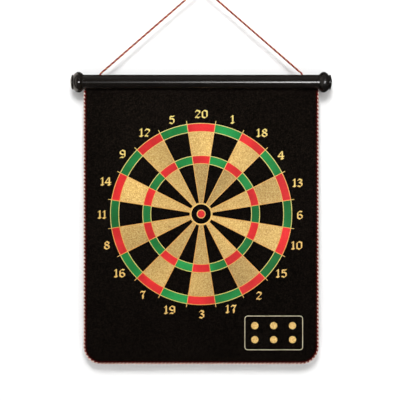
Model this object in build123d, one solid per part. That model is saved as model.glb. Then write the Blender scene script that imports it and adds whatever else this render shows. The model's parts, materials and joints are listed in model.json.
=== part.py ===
from build123d import *

import math
import os

# Roll-up magnetic dartboard: a cloth-faced magnetic sheet hanging from a header tube.
# Millimetres. The solids are drawn about the header tube's axis at mid-length, then moved
# down so that the origin is the hanging point: the inside of the cord's bend, where the nail
# bears. +X is the player's right, +Z up, and the printed face looks towards -Y.

OVERCUT = 1.0               # how far cutting bodies run past the surface they cut

# ---- header tube ----
TUBE_OD = 24.0
TUBE_WALL = 1.6
TUBE_LENGTH = 383.4
SLOT_WIDTH = 2.6            # slot along the tube's underside that the sheet hangs through
CORD_HOLE_D = 3.4
CORD_HOLE_X = 164.0         # cord holes, either side of the middle
TUBE_R = TUBE_OD / 2
TUBE_IR = TUBE_R - TUBE_WALL
TUBE_END_X = TUBE_LENGTH / 2

# ---- finials: a ball against the tube, a groove, then a disc with a domed face ----
BALL_R = 33.2 / 2
DISC_R = 23.8 / 2
GROOVE_R = DISC_R - 1.0
DOME_R = DISC_R - 0.35      # rim of the dome
FINIAL_TIP_X = 212.3        # tip of the dome
# distance out from the tube's end, radius
BALL_STATIONS = [
    (0, TUBE_R + 0.35),
    (1.9, TUBE_R + 2.25),
    (4.1, BALL_R - 0.65),
    (7.5, BALL_R),
    (12.0, BALL_R - 1.7),
    (14.9, DISC_R + 0.55),
]
GROOVE_STATIONS = [
    BALL_STATIONS[-1],
    (15.6, GROOVE_R),
    (16.2, GROOVE_R),
    (16.5, DISC_R - 0.25),
]
RIM_STATIONS = [
    GROOVE_STATIONS[-1],
    (17.4, DISC_R),
    (18.3, DOME_R),
]
SPIGOT_CLEARANCE = 0.07
SPIGOT_LENGTH = 15.0
SPIGOT_OVERLAP = 1.0        # how far the spigot runs into the ball, to fuse with it
SPIGOT_FLOOR_Z = -1.5       # cut away below this so that the hem loop passes under it
SPIGOT_BORE_R = 8.0
BORE_IN_BALL = 8.0          # how far the bore runs on into the ball

# ---- sheet ----
SHEET_HALF_WIDTH = 189.7    # to the cloth's cut edge
SHEET_BOTTOM_Z = -457.0
CORNER_R = 26.0
CLOTH_T = 0.3               # flocked face cloth, and the backing cloth
CORE_T = 0.8                # flexible magnetic core
HEM_BOTTOM_Z = -42.0        # the sheet above this stays flat with the header
STRIPS = 24                 # the flexible part of the sheet, as rigid strips
STRIP_GAP = 0.8             # room for two neighbouring strips to fold towards each other
SHEET_T = CORE_T + 2 * CLOTH_T
PITCH = (HEM_BOTTOM_Z - SHEET_BOTTOM_Z) / STRIPS
CORNER_X = SHEET_HALF_WIDTH - CORNER_R      # centre of the right bottom corner's arc
CORNER_Z = SHEET_BOTTOM_Z + CORNER_R
WINDOW_WIDTH = 500.0        # wider than the sheet, for cutting it into strips
WINDOW_BELOW = 5.0          # how far the last strip's window runs below the sheet

# ---- hem ----
ROD_D = 6.0
ROD_LENGTH = 376.0
ROD_CHAMFER = 0.6
ROD_Z = -6.85
LOOP_CLEARANCE = 0.05
LOOP_T = 0.6                # cloth folded round the rod
CORE_TOP_Z = -13.5
HEM_END_Z = HEM_BOTTOM_Z + STRIP_GAP / 2

# ---- edge stitching ----
STITCH_IN = 3.4             # how far the overlock thread reaches in from the cloth's edge
STITCH_OUT = 0.6            # and out beyond it
STITCH_HALF_T = 1.15
STITCH_BEVEL_OUT = 0.4
STITCH_BEVEL_IN = 0.25      # inner bevel, along the cloth
STITCH_BEVEL_IN_T = 0.15    # and through the thread's thickness
STITCH_PRESS = 0.1          # how much the thread presses the cloth's margin down, on each face
MARGIN = 3.5                # width of the pressed margin
STITCH_TOP_Z = -12.8
PRESSED_Y = SHEET_T / 2 - STITCH_PRESS      # half the thickness of the pressed margin

# ---- hanging cord ----
CORD_R = 2.6 / 2
CORD_PIVOT_Z = 14.0         # just above the mouths of the cord holes
CORD_APEX_R = 5.0           # bend over the nail, at the cord's centre line
HANG_ABOVE_TUBE = 153.0     # from the tube's axis to the inside of the bend
STUB_TOP_Z = 12.5
KNOT_Z = 6.9
KNOT_LOOP_R = 2.0
KNOT_LOOP_RISE = 1.9        # upper loop above the lower one
KNOT_TILT = 14              # tilt of the lower loop, degrees
KNOT_CORE_R = CORD_R + 0.9
TAIL_LENGTH = 7.0
TAIL_TILT = 70              # from upright, degrees
TAIL_OFFSET = 3.6           # tail's middle, from the knot towards the tube's middle
TAIL_DROP = 1.2


# ==== helpers ====
def save(node, *pieces):
    """Move the pieces to the hanging point's frame and write them as one STEP file."""
    solids = [
        Pos(0, 0, -HANG_ABOVE_TUBE) * solid for piece in pieces for solid in piece.solids()
    ]
    shape = solids[0] if len(solids) == 1 else Compound(children=solids)
    shape.label = node
    export_step(shape, f"parts/{node}.step")


def along_x(sketch, length):
    """A YZ-plane section run along X, centred."""
    return extrude(Plane.YZ * sketch, amount=length / 2, both=True)


def x_cylinder(radius, length, x=0):
    """A cylinder along the X axis with its middle at x."""
    return Pos(x, 0, 0) * (Rot(0, 90, 0) * Cylinder(radius, length))


def slab(sketch, y_front, y_back):
    """An XZ-plane area given thickness from y_front to y_back."""
    plane = Plane(origin=(0, y_back, 0), x_dir=(1, 0, 0), z_dir=(0, -1, 0))
    return extrude(plane * sketch, amount=y_back - y_front)


def band_limits(i):
    """Top and bottom of strip i, 1 at the top; strip 0 is the stretch beside the hem."""
    top = HEM_BOTTOM_Z - (i - 1) * PITCH - STRIP_GAP / 2
    bottom = HEM_BOTTOM_Z - i * PITCH + STRIP_GAP / 2
    if i == 0:
        top = STITCH_TOP_Z
    if i == STRIPS:
        bottom = SHEET_BOTTOM_Z - WINDOW_BELOW
    return top, bottom


# ==== header tube and finials ====
def header_tube():
    tube = x_cylinder(TUBE_R, TUBE_LENGTH) - x_cylinder(TUBE_IR, TUBE_LENGTH + 2 * OVERCUT)
    tube -= Pos(0, 0, -TUBE_R) * Box(
        TUBE_LENGTH + 2 * OVERCUT, SLOT_WIDTH, 2 * (TUBE_WALL + OVERCUT)
    )
    for side in (-1, 1):
        tube -= Pos(side * CORD_HOLE_X, 0, TUBE_R) * Cylinder(CORD_HOLE_D / 2, 4 * TUBE_WALL)
    return tube


def finial_profile():
    """Half section of the finial's head, X along the tube's axis and Y the radius."""
    ball, groove, rim = (
        [(TUBE_END_X + out, radius) for out, radius in stations]
        for stations in (BALL_STATIONS, GROOVE_STATIONS, RIM_STATIONS)
    )
    # The dome is part of a sphere, found from its rim radius and height.
    dome_h = FINIAL_TIP_X - rim[-1][0]
    sphere_r = (DOME_R**2 + dome_h**2) / (2 * dome_h)
    middle_r = DOME_R / 2
    middle_x = FINIAL_TIP_X - sphere_r + math.sqrt(sphere_r**2 - middle_r**2)

    profile = Spline(*ball)
    for start, end in zip(groove, groove[1:]):
        profile += Line(start, end)
    return make_face(
        profile
        + ThreePointArc(*rim)
        + ThreePointArc(rim[-1], (middle_x, middle_r), (FINIAL_TIP_X, 0))
        + Line((FINIAL_TIP_X, 0), (TUBE_END_X, 0))
        + Line((TUBE_END_X, 0), ball[0])
    )


def right_finial():
    """The turned head with a hollow spigot that plugs into the tube."""
    cut_h = 20
    spigot = x_cylinder(
        TUBE_IR - SPIGOT_CLEARANCE,
        SPIGOT_LENGTH + SPIGOT_OVERLAP,
        x=TUBE_END_X + (SPIGOT_OVERLAP - SPIGOT_LENGTH) / 2,
    )
    spigot -= Pos(
        TUBE_END_X - (SPIGOT_LENGTH + OVERCUT) / 2, 0, SPIGOT_FLOOR_Z - cut_h / 2
    ) * Box(SPIGOT_LENGTH + OVERCUT, 30, cut_h)
    finial = revolve(finial_profile(), axis=Axis.X, revolution_arc=360)
    finial += spigot
    finial -= x_cylinder(
        SPIGOT_BORE_R,
        SPIGOT_LENGTH + BORE_IN_BALL,
        x=TUBE_END_X + (BORE_IN_BALL - SPIGOT_LENGTH) / 2,
    )
    return finial


# ==== hem ====
def retaining_rod():
    """The rod inside the hem loop."""
    rod = x_cylinder(ROD_D / 2, ROD_LENGTH)
    rod = chamfer(rod.edges().filter_by(GeomType.CIRCLE), ROD_CHAMFER)
    return Pos(0, 0, ROD_Z) * rod


def sheet_top_hem():
    """Cloth folded round the rod and down both faces of the core, and the core itself."""
    loop_in = ROD_D / 2 + LOOP_CLEARANCE
    web_top = ROD_Z - loop_in - LOOP_T / 2
    core = Pos(0, (CORE_TOP_Z + HEM_END_Z) / 2) * Rectangle(CORE_T, CORE_TOP_Z - HEM_END_Z)
    section = Pos(0, ROD_Z) * Circle(loop_in + LOOP_T)
    section += Pos(0, (web_top + HEM_END_Z) / 2) * Rectangle(SHEET_T, web_top - HEM_END_Z)
    section -= Pos(0, ROD_Z) * Circle(loop_in)
    section -= core
    cloth = along_x(section, 2 * SHEET_HALF_WIDTH)
    # Press down the side margins under the stitching, on both faces.
    for side in (-1, 1):
        for face in (-1, 1):
            cloth -= Pos(
                side * (SHEET_HALF_WIDTH + (OVERCUT - MARGIN) / 2),
                face * (PRESSED_Y + OVERCUT / 2),
                (STITCH_TOP_Z + HEM_END_Z) / 2,
            ) * Box(MARGIN + OVERCUT, OVERCUT, STITCH_TOP_Z - HEM_END_Z + 0.001)
    return cloth, along_x(core, 2 * SHEET_HALF_WIDTH)


# ==== sheet strips ====
def sheet_outline(inset):
    """The sheet's outline, square at the top and round at the bottom corners, drawn in by inset."""
    x, z = SHEET_HALF_WIDTH - inset, SHEET_BOTTOM_Z + inset
    diagonal = math.sqrt(0.5) * (CORNER_R - inset)
    arc_x, arc_z = CORNER_X + diagonal, CORNER_Z - diagonal
    return make_face(
        Line((-x, 0), (x, 0))
        + Line((x, 0), (x, CORNER_Z))
        + ThreePointArc((x, CORNER_Z), (arc_x, arc_z), (CORNER_X, z))
        + Line((CORNER_X, z), (-CORNER_X, z))
        + ThreePointArc((-CORNER_X, z), (-arc_x, arc_z), (-x, CORNER_Z))
        + Line((-x, CORNER_Z), (-x, 0))
    )


def sheet_strip(i, outline, inner_outline):
    """Face cloth, magnetic core and backing cloth of strip i, thinner at the margin."""
    top, bottom = band_limits(i)
    window = Pos(0, (top + bottom) / 2) * Rectangle(WINDOW_WIDTH, top - bottom)
    area, inner = outline & window, inner_outline & window
    return (
        slab(area, -PRESSED_Y, -CORE_T / 2) + slab(inner, -SHEET_T / 2, -PRESSED_Y),
        slab(area, -CORE_T / 2, CORE_T / 2),
        slab(area, CORE_T / 2, PRESSED_Y) + slab(inner, PRESSED_Y, SHEET_T / 2),
    )


# ==== edge stitching: overlock thread wrapped round the left, bottom and right edges ====
def stitch_runs():
    """The straight run up the right edge, and the run round both corners and the bottom."""
    inner, outer, half_t = -STITCH_IN, STITCH_OUT, STITCH_HALF_T
    # distance out from the cloth's edge, distance through the sheet's thickness
    section = Polygon(
        (inner, -half_t + STITCH_BEVEL_IN_T),
        (inner + STITCH_BEVEL_IN, -half_t),
        (outer - STITCH_BEVEL_OUT, -half_t),
        (outer, -half_t + STITCH_BEVEL_OUT),
        (outer, half_t - STITCH_BEVEL_OUT),
        (outer - STITCH_BEVEL_OUT, half_t),
        (inner + STITCH_BEVEL_IN, half_t),
        (inner, half_t - STITCH_BEVEL_IN_T),
        (inner, PRESSED_Y),
        (0, PRESSED_Y),
        (0, -PRESSED_Y),
        (inner, -PRESSED_Y),
        align=None,
    )
    side_plane = Plane(
        origin=(SHEET_HALF_WIDTH, 0, CORNER_Z), x_dir=(1, 0, 0), z_dir=(0, 0, 1)
    )
    bottom_plane = Plane(
        origin=(CORNER_X, 0, SHEET_BOTTOM_Z), x_dir=(0, 0, -1), z_dir=(-1, 0, 0)
    )
    side_run = extrude(side_plane * section, amount=STITCH_TOP_Z - CORNER_Z)
    corner_run = revolve(
        side_plane * section,
        axis=Axis((CORNER_X, 0, CORNER_Z), (0, 1, 0)),
        revolution_arc=90,
    )
    bottom_run = extrude(bottom_plane * section, amount=2 * CORNER_X)
    return side_run, corner_run + mirror(corner_run, about=Plane.YZ) + bottom_run


def edge_stitching(i, side_run, lower_run):
    """The stitching beside strip i."""
    top, bottom = band_limits(i)
    window = Pos(0, 0, (top + bottom) / 2) * Box(WINDOW_WIDTH, 10, top - bottom)
    sides = []
    if top > CORNER_Z:
        right = side_run & window
        sides = [right, mirror(right, about=Plane.YZ)]
    if bottom >= CORNER_Z:
        return sides
    lower = lower_run & window
    for side in sides:
        lower = lower + side
    return [lower]


# ==== hanging cord and knots ====
def hanging_cord():
    """Two straight legs over the nail, with round ends at the cord holes."""
    arc_z = HANG_ABOVE_TUBE + CORD_R - CORD_APEX_R     # height of the bend's centre
    rise = arc_z - CORD_PIVOT_Z
    # Slope of a leg that meets the bend at a tangent.
    slope = math.atan2(rise, CORD_HOLE_X) + math.asin(
        CORD_APEX_R / math.hypot(rise, CORD_HOLE_X)
    )
    bend_x = CORD_APEX_R * math.sin(slope)
    bend_z = arc_z + CORD_APEX_R * math.cos(slope)
    left_end, right_end = ((side * CORD_HOLE_X, 0, CORD_PIVOT_Z) for side in (-1, 1))
    left_bend, right_bend = ((side * bend_x, 0, bend_z) for side in (-1, 1))
    path = (
        Line(left_end, left_bend)
        + ThreePointArc(left_bend, (0, 0, arc_z + CORD_APEX_R), right_bend)
        + Line(right_bend, right_end)
    )
    start = Plane(
        origin=left_end, x_dir=(0, 1, 0), z_dir=(math.cos(slope), 0, math.sin(slope))
    )
    cord = sweep(start * Circle(CORD_R), path=path)
    for end in (left_end, right_end):
        cord += Pos(*end) * Sphere(CORD_R)
    return cord


def cord_knot(side):
    """A knot inside the tube, with its tail and the stub that passes up through the hole."""
    knot = Pos(0, 0, (STUB_TOP_Z + KNOT_Z) / 2) * Cylinder(CORD_R, STUB_TOP_Z - KNOT_Z)
    knot += Pos(0, 0, KNOT_Z + KNOT_LOOP_RISE) * Torus(KNOT_LOOP_R, CORD_R)
    knot += Pos(0, 0, KNOT_Z) * (Rot(0, KNOT_TILT, 0) * Torus(KNOT_LOOP_R, CORD_R))
    knot += Pos(0, 0, KNOT_Z) * Sphere(KNOT_CORE_R)
    tail = Pos(-side * TAIL_OFFSET, 0, KNOT_Z - TAIL_DROP) * (
        Rot(0, side * TAIL_TILT, 0) * Cylinder(CORD_R, TAIL_LENGTH)
    )
    return Pos(side * CORD_HOLE_X, 0, 0) * (knot + tail)


# ==== build and write every piece ====
os.makedirs("parts", exist_ok=True)

save("header_tube", header_tube())
finial = right_finial()
save("finial_right", finial)
save("finial_left", mirror(finial, about=Plane.YZ))
save("retaining_rod", retaining_rod())
save("sheet_top_hem", *sheet_top_hem())

outlines = sheet_outline(0), sheet_outline(MARGIN)
for i in range(1, STRIPS + 1):
    save(f"sheet_strip_{i:02d}", *sheet_strip(i, *outlines))

runs = stitch_runs()
for i in range(0, STRIPS + 1):
    save(f"edge_stitching_{i:02d}", *edge_stitching(i, *runs))

save("hanging_cord", hanging_cord())
save("cord_knot_left", cord_knot(-1))
save("cord_knot_right", cord_knot(1))
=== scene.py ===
# A roll-up cloth dartboard: a flocked sheet hangs from a glossy black tube with ball finials,
# on a twisted cord, in front of a white wall.
# X runs across the board, the printed face looks towards -Y and Z is up.
# Shapes are given in millimetres, with heights measured from the tube's axis; world() turns
# them into metres. The stage, lights and camera are in metres.
import json
import math
import random
import bpy
import numpy as np
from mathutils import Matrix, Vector
from mathutils.geometry import delaunay_2d_cdt

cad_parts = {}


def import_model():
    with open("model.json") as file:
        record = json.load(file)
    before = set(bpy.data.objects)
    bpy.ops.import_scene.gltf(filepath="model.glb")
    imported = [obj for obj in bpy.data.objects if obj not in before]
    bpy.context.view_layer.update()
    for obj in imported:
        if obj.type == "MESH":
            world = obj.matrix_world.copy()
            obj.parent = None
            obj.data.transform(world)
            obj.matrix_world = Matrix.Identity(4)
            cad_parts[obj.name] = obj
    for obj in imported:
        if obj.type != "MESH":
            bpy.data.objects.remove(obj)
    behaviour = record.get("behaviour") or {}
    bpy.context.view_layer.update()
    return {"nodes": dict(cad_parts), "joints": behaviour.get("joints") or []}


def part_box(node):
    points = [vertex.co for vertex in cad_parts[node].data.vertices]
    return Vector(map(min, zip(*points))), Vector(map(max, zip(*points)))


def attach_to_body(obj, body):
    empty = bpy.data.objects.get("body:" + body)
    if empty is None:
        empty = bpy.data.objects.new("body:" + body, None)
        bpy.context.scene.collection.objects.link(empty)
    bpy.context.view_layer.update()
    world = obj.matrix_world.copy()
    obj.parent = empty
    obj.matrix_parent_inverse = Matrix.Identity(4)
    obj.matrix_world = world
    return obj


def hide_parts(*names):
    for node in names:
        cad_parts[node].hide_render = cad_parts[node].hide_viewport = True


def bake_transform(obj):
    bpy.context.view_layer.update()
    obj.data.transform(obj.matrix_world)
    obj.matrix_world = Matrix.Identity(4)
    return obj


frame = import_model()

random.seed(7)
MM = 0.001                                       # one millimetre, in metres

# ------------------------------------------------------------------ the CAD frame
tube_low, tube_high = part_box("header_tube")
TUBE_R = (tube_high.y - tube_low.y) / 2 / MM
AXIS_Z = tube_high.z - TUBE_R * MM               # height of the tube's axis, metres


def from_axis(z):
    """Height above the tube's axis in mm, from a height in metres."""
    return (z - AXIS_Z) / MM


def world(x, y, z):
    """A place in metres, from mm with z measured from the tube's axis."""
    return (x * MM, y * MM, z * MM + AXIS_Z)


joints = {joint["name"]: joint for joint in frame["joints"]}
HINGES_Z = [from_axis(joints[name]["pos_m"][2]) for name in sorted(joints)
            if name.startswith("roll_")]
STRIPS = len(HINGES_Z)
PANELS = STRIPS + 2                              # the hem, one panel per hinge, and the last end
PITCH = HINGES_Z[0] - HINGES_Z[1]
BODIES = ["header"] + ["strip_%02d" % (i + 1) for i in range(STRIPS)]

strip_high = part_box("sheet_strip_%02d" % (STRIPS // 2))[1]
HALF_W = strip_high.x / MM                       # half the sheet's width, to the cut edge
HALF_T = strip_high.y / MM                       # half its thickness
last_low, last_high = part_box("sheet_strip_%02d" % STRIPS)
TOP_Z = -10.9                                    # where the sheet starts, inside the tube
BOTTOM = from_axis(last_low.z)
CORNER_R = 27.6                                  # the two rounded bottom corners
CORNER_X = HALF_W - CORNER_R
CORNER_Z = BOTTOM + CORNER_R

stitch_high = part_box("edge_stitching_%02d" % STRIPS)[1]
WRAP_OUT = stitch_high.x / MM - (last_high.x / MM)   # how far the thread stands out past the cloth

PIVOT_Z = from_axis(joints["cord_swing"]["pos_m"][2])
cord_low, cord_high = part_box("hanging_cord")
CORD_R = (cord_high.y - cord_low.y) / 2 / MM
CORD_X = cord_high.x / MM - CORD_R
CORD_TOP = from_axis(cord_high.z) - CORD_R       # the centre line over the nail

TARGET_Z = -214.3                                # the bullseye


# ------------------------------------------------------------------ material helpers
LIGHT = 1.42                                     # how bright the studio light falls on the face


def linear(red, green, blue):
    """Linear colour from sRGB values of 0 to 255."""
    def channel(value):
        value = value / 255
        return value / 12.92 if value <= 0.04045 else ((value + 0.055) / 1.055) ** 2.4
    return (channel(red), channel(green), channel(blue), 1.0)


def ink(red, green, blue):
    """The surface colour that looks like these sRGB values under the studio light."""
    return tuple(value / LIGHT for value in linear(red, green, blue)[:3]) + (1.0,)


def grey(value):
    return (value, value, value, 1)


class Shading:
    """The node tree of a material or world, with short cuts for its nodes."""

    def __init__(self, owner):
        owner.use_nodes = True
        self.tree = owner.node_tree

    def find(self, kind):
        return next(node for node in self.tree.nodes if node.type == kind)

    def node(self, kind, inputs=None, **settings):
        """Adds a node. Each input takes a value, or the output of another node."""
        node = self.tree.nodes.new(kind)
        for name, value in settings.items():
            setattr(node, name, value)
        for socket, value in (inputs or {}).items():
            if isinstance(value, bpy.types.NodeSocket):
                self.link(value, node.inputs[socket])
            else:
                node.inputs[socket].default_value = value
        return node

    def link(self, output, socket):
        self.tree.links.new(output, socket)

    def axes(self, vector):
        """The outputs "X", "Y" and "Z" of a vector."""
        return self.node("ShaderNodeSeparateXYZ", {0: vector}).outputs

    def map_range(self, value, start, end, low=0.0, high=1.0, **settings):
        inputs = {"Value": value, "From Min": start, "From Max": end, "To Min": low, "To Max": high}
        return self.node("ShaderNodeMapRange", inputs, **settings).outputs[0]

    def noise(self, vector, scale, detail=2.0, rough=0.5, stretch=None):
        if stretch:
            mapping = self.node("ShaderNodeMapping", {"Scale": stretch, "Vector": vector})
            vector = mapping.outputs["Vector"]
        inputs = {"Scale": scale, "Detail": detail, "Roughness": rough, "Vector": vector}
        return self.node("ShaderNodeTexNoise", inputs).outputs["Fac"]

    def ramp(self, factor, stops):
        """Colours by position, from stops of (position, colour)."""
        node = self.node("ShaderNodeValToRGB", {"Fac": factor})
        elements = node.color_ramp.elements
        while len(elements) < len(stops):
            elements.new(0.5)
        for element, (position, colour) in zip(elements, stops):
            element.position = position
            element.color = colour
        return node.outputs["Color"]

    def mix(self, factor, first, second, mode="MIX"):
        # sockets 6 and 7 are the node's two colours
        inputs = {0: factor, 6: first, 7: second}
        return self.node("ShaderNodeMix", inputs, data_type="RGBA", blend_type=mode).outputs[2]

    def math(self, operation, first, second=0.0, third=0.0):
        inputs = {0: first, 1: second, 2: third}
        return self.node("ShaderNodeMath", inputs, operation=operation).outputs[0]


class Material(Shading):
    """A material built round the principled shader."""

    def __init__(self, name, rough, specular):
        self.data = bpy.data.materials.new(name)
        super().__init__(self.data)
        self.inputs = self.find("BSDF_PRINCIPLED").inputs
        self.inputs["Roughness"].default_value = rough
        self.inputs["Specular IOR Level"].default_value = specular

    def rest(self):
        """The piece's place at rest, in metres, which doesn't slide when the piece bends."""
        return self.node("ShaderNodeAttribute", attribute_name="rest").outputs["Vector"]

    def object_place(self):
        return self.node("ShaderNodeTexCoord").outputs["Object"]

    def from_target(self, place):
        """Distance across and up from the bullseye, metres."""
        axes = self.axes(place)
        return axes["X"], self.math("SUBTRACT", axes["Z"], AXIS_Z + TARGET_Z * MM)

    def lobes(self, angle, count, swing, turn=18.0):
        """1 + swing cos(count (angle - turn)): a painted sheen, brighter and darker by turns round
        the target.
        """
        phase = self.math("MULTIPLY_ADD", angle, float(count), -math.radians(turn) * count)
        return self.math("MULTIPLY_ADD", self.math("COSINE", phase), swing, 1.0)

    def dim(self, colour, factor):
        """Colour times a plain number."""
        plain = self.node("ShaderNodeCombineColor", {0: factor, 1: factor, 2: factor})
        return self.mix(1.0, colour, plain.outputs[0], "MULTIPLY")

    def bump(self, height, strength, distance):
        inputs = {"Strength": strength, "Distance": distance, "Height": height}
        self.link(self.node("ShaderNodeBump", inputs).outputs["Normal"], self.inputs["Normal"])

    def colour(self, output):
        self.link(output, self.inputs["Base Color"])


# ------------------------------------------------------------------ materials
def flock_material():
    """Black flocked cloth: matte, with a fine speckle where the pile catches light."""
    mat = Material("flock_black", rough=1.0, specular=0.0)
    place = mat.rest()
    speckle = mat.noise(place, scale=430.0, detail=4.0, rough=0.85)
    pile = mat.noise(place, scale=1500.0, rough=0.6)
    broad = mat.noise(place, scale=7.0, detail=3.0)
    colour = mat.ramp(speckle, [(0.36, ink(3, 2, 1)), (0.50, ink(15, 12, 10)),
                                (0.64, ink(33, 27, 22))])
    # painted shade: darker towards the bottom of the sheet, where less light falls
    level = mat.map_range(mat.axes(place)["Z"], start=AXIS_Z + BOTTOM * MM, end=AXIS_Z,
                          low=0.72, high=1.13)
    lift = mat.math("MULTIPLY", level, mat.math("MULTIPLY_ADD", broad, 0.9, 0.55))
    mat.colour(mat.dim(colour, lift))
    mat.inputs["Sheen Weight"].default_value = 0.02
    mat.inputs["Sheen Roughness"].default_value = 0.4
    mat.bump(pile, strength=0.5, distance=0.0003)
    return mat.data


def gold_field_material(name, sheen):
    """Metallic gold ink: bright, sandy grain and painted glints, with or without a painted sheen
    round the target.
    """
    mat = Material(name, rough=0.55, specular=0.2)
    place = mat.rest()
    grain = mat.noise(place, scale=520.0, detail=4.0, rough=0.85)
    grit = mat.noise(place, scale=1300.0, rough=0.6)
    broad = mat.noise(place, scale=13.0)
    colour = mat.ramp(grain, [(0.30, ink(142, 100, 44)), (0.44, ink(198, 157, 84)),
                              (0.56, ink(222, 183, 103)), (0.70, ink(255, 230, 158))])
    # broad random tone, times a painted sheen round the target when sheen is on
    tone_and_painted_sheen = mat.math("MULTIPLY_ADD", broad, 0.34, 0.82 if sheen else 0.98)
    if sheen:
        tone_and_painted_sheen = mat.math("MULTIPLY", tone_and_painted_sheen, painted_target_sheen(mat, place))
    # painted glints: small bright flecks added to the colour where the fine grit peaks
    painted_glints = mat.ramp(grit, [(0.62, grey(0)), (0.74, (0.10, 0.085, 0.05, 1))])
    mat.colour(mat.mix(1.0, mat.dim(colour, tone_and_painted_sheen), painted_glints, "ADD"))
    mat.bump(grain, strength=0.25, distance=0.0003)
    return mat.data


def painted_target_sheen(mat, place):
    """Painted sheen: brightness round the target, one pattern inside the triple ring, another
    outside it.
    """
    across, up = mat.from_target(place)
    angle = mat.math("ARCTAN2", across, up)
    squares = mat.math("ADD", mat.math("MULTIPLY", across, across), mat.math("MULTIPLY", up, up))
    fade = mat.map_range(mat.math("SQRT", squares), start=0.080, end=0.096,
                         interpolation_type="SMOOTHSTEP")

    def pattern(count, swing, one_sided, level):
        both = mat.math("MULTIPLY", mat.lobes(angle, count, swing),
                        mat.lobes(angle, 1, one_sided, turn=0.0))
        return mat.math("MULTIPLY", both, level)

    inner = pattern(count=2, swing=-0.21, one_sided=-0.07, level=0.87)
    outer = pattern(count=4, swing=0.22, one_sided=0.11, level=0.94)
    return mat.math("ADD", mat.math("MULTIPLY", outer, fade),
                    mat.math("MULTIPLY", inner, mat.math("SUBTRACT", 1.0, fade)))


def gold_line_material(name, bottom, middle, upper, top):
    """Finer gold of the lines and numbers, its colour changing with height on the target: painted
    light, paler and brighter towards the top, where more light falls.
    """
    mat = Material(name, rough=0.5, specular=0.2)
    place = mat.rest()
    height = mat.map_range(mat.axes(place)["Z"], start=AXIS_Z + (TARGET_Z - 170) * MM,
                           end=AXIS_Z + (TARGET_Z + 170) * MM)
    base = mat.ramp(height, [(0.0, bottom), (0.45, middle), (0.85, upper), (1.0, top)])
    grain = mat.noise(place, scale=500.0, detail=3.0, rough=0.7)
    tint = mat.ramp(grain, [(0.3, (0.74, 0.70, 0.62, 1)), (0.6, (1.03, 1.03, 1.0, 1)),
                            (0.8, (1.2, 1.2, 1.25, 1))])
    mat.colour(mat.mix(1.0, base, tint, "MULTIPLY"))
    mat.bump(grain, strength=0.3, distance=0.0002)
    return mat.data


def print_material(name, dark, middle, light, scale=24.0, lobes=4, swing=0.13):
    """Coloured print: blotches of the given scale, and a painted sheen of so many lobes round the
    target.
    """
    mat = Material(name, rough=0.6, specular=0.15)
    place = mat.rest()
    broad = mat.noise(place, scale=scale)
    grain = mat.noise(place, scale=700.0, detail=3.0, rough=0.8)
    colour = mat.ramp(broad, [(0.32, dark), (0.5, middle), (0.70, light)])
    tint = mat.ramp(grain, [(0.3, grey(0.80)), (0.7, grey(1.12))])
    angle = mat.math("ARCTAN2", *mat.from_target(place))
    tinted = mat.mix(1.0, colour, tint, "MULTIPLY")
    # painted sheen: brighter and darker by turns round the target
    mat.colour(mat.dim(tinted, mat.lobes(angle, lobes, swing)))
    mat.bump(grain, strength=0.35, distance=0.0003)
    return mat.data


def backing_material():
    """Plain woven backing: the crossing threads are two sine waves."""
    wave = 2 * math.pi / 0.0009                  # one wave in 0.9 mm
    mat = Material("backing_cloth", rough=0.95, specular=0.05)
    place = mat.rest()
    axes = mat.axes(place)
    warp = mat.math("SINE", mat.math("MULTIPLY", axes["X"], wave))
    weft = mat.math("SINE", mat.math("MULTIPLY", axes["Z"], wave))
    weave = mat.math("MULTIPLY_ADD", mat.math("MULTIPLY", warp, weft), 0.5, 0.5)
    fuzz = mat.noise(place, scale=1200.0, detail=3.0, rough=0.7)
    height = mat.math("ADD", mat.math("MULTIPLY", weave, 0.7), mat.math("MULTIPLY", fuzz, 0.3))
    mat.colour(mat.ramp(height, [(0.15, linear(14, 11, 10)), (0.6, linear(30, 25, 23)),
                                 (0.9, linear(46, 40, 37))]))
    mat.bump(height, strength=0.6, distance=0.0003)
    return mat.data


def core_material():
    """The cut edge of the sheet."""
    mat = Material("core_edge", rough=0.8, specular=0.1)
    grain = mat.noise(mat.rest(), scale=700.0, detail=3.0)
    mat.colour(mat.ramp(grain, [(0.3, linear(24, 20, 18)), (0.7, linear(48, 40, 36))]))
    return mat.data


def thread_material(name, dark, light):
    """Spun thread: fine fibres, slightly uneven colour."""
    mat = Material(name, rough=0.7, specular=0.02)
    place = mat.rest()
    fibre = mat.noise(place, scale=2600.0, detail=3.0, rough=0.7)
    broad = mat.noise(place, scale=260.0)
    colour = mat.ramp(fibre, [(0.28, dark), (0.66, light)])
    tint = mat.ramp(broad, [(0.3, (0.82, 0.80, 0.80, 1)), (0.7, grey(1.10))])
    mat.colour(mat.mix(1.0, colour, tint, "MULTIPLY"))
    mat.bump(fibre, strength=0.7, distance=0.0002)
    return mat.data


def gloss_material(name, dull=0.0):
    """Glossy black plastic with a warm tone, light orange peel and a few dull marks."""
    mat = Material(name, rough=0.18, specular=0.5)
    place = mat.object_place()
    broad = mat.noise(place, scale=30.0, detail=3.0)
    mat.colour(mat.ramp(broad, [(0.3, ink(15, 11, 8)), (0.7, ink(24, 19, 15))]))
    marks = mat.noise(place, scale=70.0, detail=4.0, rough=0.7, stretch=(0.5, 1.0, 1.0))
    rough = mat.ramp(marks, [(0.40, grey(0.15 + dull)), (0.75, grey(0.25 + dull))])
    mat.link(rough, mat.inputs["Roughness"])
    mat.bump(mat.noise(place, scale=300.0, detail=3.0), strength=0.05, distance=0.0004)
    return mat.data


def wood_material():
    """Pale wood with its grain along the rod."""
    mat = Material("rod_wood", rough=0.7, specular=0.2)
    grain = mat.noise(mat.object_place(), scale=120.0, detail=4.0, rough=0.6,
                      stretch=(0.05, 1.0, 1.0))
    mat.colour(mat.ramp(grain, [(0.3, linear(150, 112, 66)), (0.7, linear(205, 168, 116))]))
    mat.bump(grain, strength=0.3, distance=0.0003)
    return mat.data


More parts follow.
